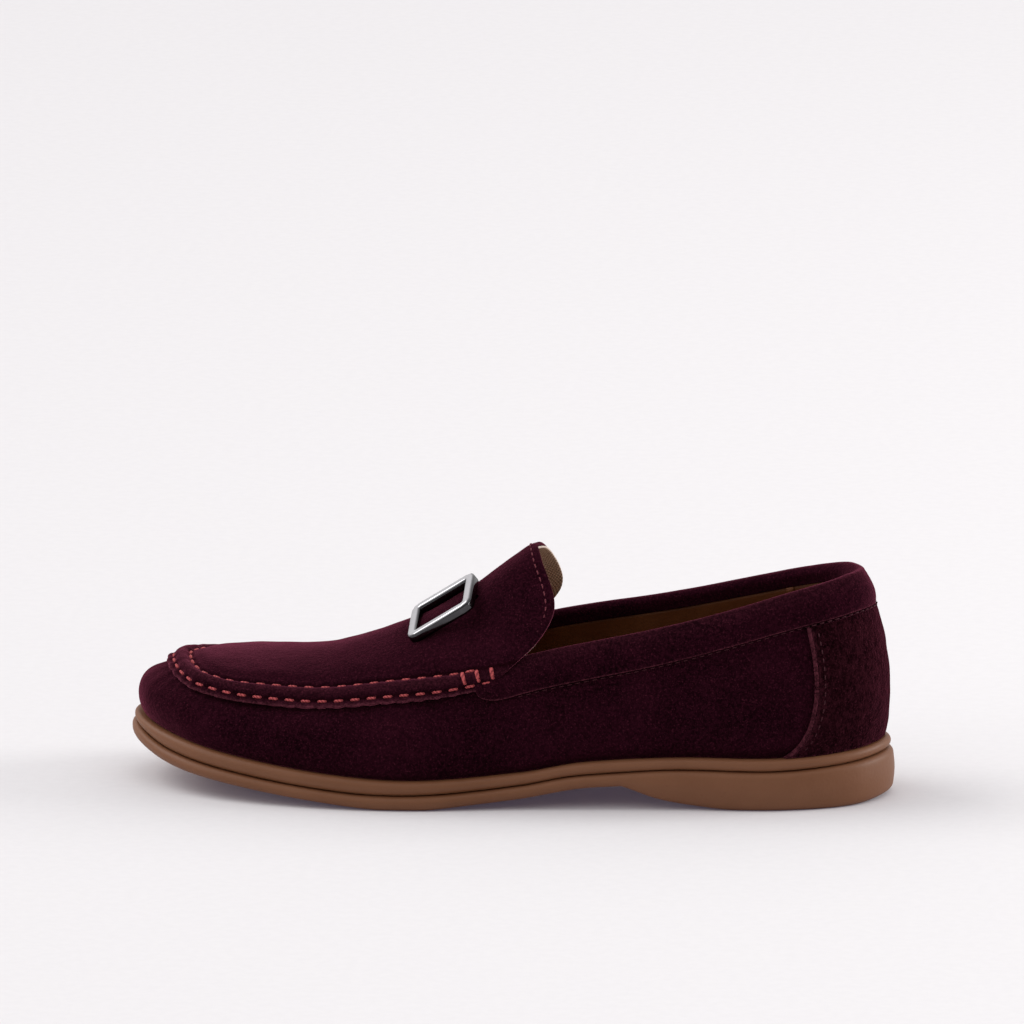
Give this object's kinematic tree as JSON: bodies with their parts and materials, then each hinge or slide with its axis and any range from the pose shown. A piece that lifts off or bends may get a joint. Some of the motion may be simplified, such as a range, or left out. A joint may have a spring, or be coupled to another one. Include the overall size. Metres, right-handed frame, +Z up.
{
  "type": "moccasin loafer",
  "caption": "Left slip-on shoe: moccasin-toe suede loafer with a raised stitched apron, a high tongue, a plain metal frame ornament and a low two-layer rubber sole.",
  "frame": {"origin": "on the ground, under the middle of the shoe's bounding box", "axes": "+X towards the heel, the toe points along -X; -Y is the outer side of the left foot; +Z up"},
  "size_m": [0.292, 0.1061, 0.0945],
  "materials": {
    "gum_rubber": "matt tan gum rubber, moulded",
    "fibre_board": "plain",
    "spring_steel": "bare",
    "cork": "granular",
    "foam": "open-cell foam",
    "lining_leather": "smooth, slightly glossy tan leather",
    "suede": "napped dark burgundy suede",
    "rough_suede": "longer, rougher nap of the same colour",
    "cotton_cord": "twisted cotton",
    "woven_lining": "beige woven cloth",
    "stiffener": "thermoplastic sheet",
    "polished_metal": "polished, slightly dark",
    "thick_thread": "waxed twisted thread, dusty pink",
    "fine_thread": "fine thread, tone on tone"
  },
  "bodies": {
    "root": {"outsole": "gum_rubber", "midsole": "gum_rubber", "insole_board": "fibre_board", "shank": "spring_steel", "filler": "cork", "heel_pad": "foam", "sock": "lining_leather", "heel_nails": "spring_steel", "side_wall": "suede", "apron": "suede", "ridge_cord": "cotton_cord", "tongue_lining": "woven_lining", "vamp_lining": "woven_lining", "quarter_lining": "lining_leather", "lining_seams": "lining_leather", "toe_puff": "stiffener", "heel_counter": "stiffener", "counter_patch": "rough_suede", "counter_ridge": "rough_suede", "collar_band": "suede", "collar_foam": "foam", "ornament": "polished_metal", "ornament_posts": "polished_metal", "ornament_washers": "polished_metal", "outer_stitches": "thick_thread", "inner_stitches": "thick_thread", "cross_stitches": "thick_thread", "tongue_stitches": "fine_thread", "collar_stitches": "fine_thread", "counter_stitches": "fine_thread"}
  },
  "joints": []
}
